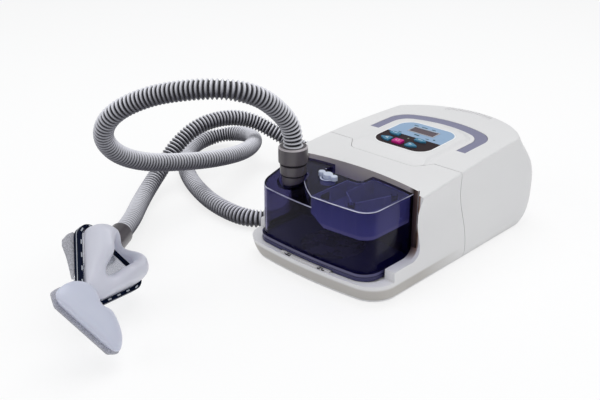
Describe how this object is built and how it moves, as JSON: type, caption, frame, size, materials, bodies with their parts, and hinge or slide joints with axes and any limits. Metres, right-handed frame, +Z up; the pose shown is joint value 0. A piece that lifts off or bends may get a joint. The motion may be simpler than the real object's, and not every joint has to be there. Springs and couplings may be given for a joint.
{
  "type": "positive airway pressure machine",
  "caption": "Bedside airway-pressure machine with humidifier, tinted slide-out water chamber, keypad, corrugated hose and nasal mask.",
  "frame": {"origin": "on the table, midway between the machine's left and right sides, under the seam between the humidifier and the blower unit", "axes": "+Z up, +Y from the water chamber towards the blower unit's back, +X to the right of someone facing the chamber"},
  "size_m": [0.4838, 0.6125, 0.2203],
  "materials": {
    "white_case": "satin",
    "chamber_clear": "gloss",
    "chamber_base": "gloss",
    "baffle_clear": "gloss",
    "gasket": "matt",
    "heater_metal": "satin",
    "steel": "satin",
    "rubber_dark": "matt",
    "latch_beige": "satin",
    "cuff_grey": "matt",
    "hose_grey": "satin",
    "cap_blue": "gloss",
    "band_violet": "satin",
    "fascia": "gloss",
    "lcd_dark": "gloss",
    "button_blue": "gloss",
    "button_magenta": "gloss",
    "led": "gloss",
    "board_green": "satin",
    "inner_grey": "satin",
    "motor": "satin",
    "filter_foam": "matt",
    "ring_navy": "gloss",
    "frame_clear": "gloss",
    "silicone": "satin",
    "pad_silicone": "satin"
  },
  "bodies": {
    "humidifier": {"humidifier_housing": "white_case", "humidifier_floor": "white_case", "humidifier_feet": "rubber_dark", "humidifier_screws": "steel", "heater_plate": "heater_metal", "heater_element": "inner_grey", "air_inlet_duct": "inner_grey", "air_inlet_seal": "rubber_dark"},
    "latch": {"chamber_latch": "latch_beige"},
    "water_chamber": {"chamber_shell": "chamber_clear", "chamber_gasket": "gasket", "chamber_base": "chamber_base", "chamber_plate": "steel", "chamber_baffle": "baffle_clear", "chamber_screws": "steel", "outlet_adapter": "cuff_grey"},
    "filler_cap": {"fill_cap": "cap_blue"},
    "blower_unit": {"main_top_cover": "white_case", "main_bottom_plate": "white_case", "main_feet": "rubber_dark", "main_screws": "steel", "panel_band": "band_violet", "panel_fascia": "fascia", "lcd_window": "lcd_dark", "lcd_module": "inner_grey", "status_led": "led", "control_board": "board_green", "button_switches": "rubber_dark", "blower_housing": "inner_grey", "blower_cover": "inner_grey", "blower_motor": "motor", "blower_mounts": "rubber_dark", "main_board_posts": "steel", "main_circuit_board": "board_green", "power_socket": "rubber_dark"},
    "impeller": {"blower_impeller": "cap_blue"},
    "filter_door": {"filter_cap": "white_case", "air_filter": "filter_foam"},
    "key_upper_left": {"button_upper_left": "button_blue"},
    "key_lower_left": {"button_lower_left": "button_blue"},
    "key_power": {"button_power": "button_magenta"},
    "key_lower_right": {"button_lower_right": "button_blue"},
    "key_upper_right": {"button_upper_right": "button_blue"},
    "hose": {"hose_cuff_machine": "cuff_grey", "hose_tube": "hose_grey", "hose_cuff_mask": "cuff_grey", "mask_elbow": "frame_clear"},
    "mask": {"mask_frame": "frame_clear", "mask_ring": "ring_navy", "mask_cushion": "silicone", "frame_knuckle": "frame_clear"},
    "forehead_support": {"forehead_arm": "frame_clear", "forehead_plate": "frame_clear", "forehead_pad": "pad_silicone"}
  },
  "joints": [
    {"name": "chamber_slide", "type": "slide", "parent": "humidifier", "child": "water_chamber", "axis": [0, -1, 0], "range_m": [0, 0.13]},
    {"name": "latch_press", "type": "slide", "parent": "humidifier", "child": "latch", "axis": [0, 0, -1], "range_m": [0, 0.0024], "stiffness_N_per_m": 600},
    {"name": "undock_slide", "type": "slide", "parent": "humidifier", "child": "blower_unit", "axis": [0, 1, 0], "range_m": [0, 0.04]},
    {"name": "filler_turn", "type": "hinge", "parent": "water_chamber", "child": "filler_cap", "pos_m": [-0.0155, -0.091, 0.1], "axis": [0, 0, 1], "range_deg": [0, 90]},
    {"name": "impeller_spin", "type": "hinge", "parent": "blower_unit", "child": "impeller", "pos_m": [-0.008, 0.095, 0.053], "axis": [0, 0, 1], "continuous": true},
    {"name": "filter_pull", "type": "slide", "parent": "blower_unit", "child": "filter_door", "axis": [0, 1, 0], "range_m": [0, 0.016]},
    {"name": "hose_lift", "type": "slide", "parent": "water_chamber", "child": "hose", "axis": [0, 0, 1], "range_m": [0, 0.03]},
    {"name": "mask_swivel", "type": "hinge", "parent": "hose", "child": "mask", "pos_m": [-0.13767, -0.33022, 0.02411], "axis": [0.6931, 0.376, 0.615], "range_deg": [-25, 25]},
    {"name": "forehead_tilt", "type": "hinge", "parent": "mask", "child": "forehead_support", "pos_m": [-0.07473, -0.37136, 0.03516], "axis": [-0.4351, -0.462, 0.7728], "range_deg": [-8, 8]},
    {"name": "key_upper_left_press", "type": "slide", "parent": "blower_unit", "child": "key_upper_left", "axis": [0, 0.0425, -0.9991], "range_m": [0, 0.0008], "stiffness_N_per_m": 400},
    {"name": "key_lower_left_press", "type": "slide", "parent": "blower_unit", "child": "key_lower_left", "axis": [0, 0.0425, -0.9991], "range_m": [0, 0.0008], "stiffness_N_per_m": 400},
    {"name": "key_power_press", "type": "slide", "parent": "blower_unit", "child": "key_power", "axis": [0, 0.0425, -0.9991], "range_m": [0, 0.0008], "stiffness_N_per_m": 400},
    {"name": "key_lower_right_press", "type": "slide", "parent": "blower_unit", "child": "key_lower_right", "axis": [0, 0.0425, -0.9991], "range_m": [0, 0.0008], "stiffness_N_per_m": 400},
    {"name": "key_upper_right_press", "type": "slide", "parent": "blower_unit", "child": "key_upper_right", "axis": [0, 0.0425, -0.9991], "range_m": [0, 0.0008], "stiffness_N_per_m": 400}
  ]
}
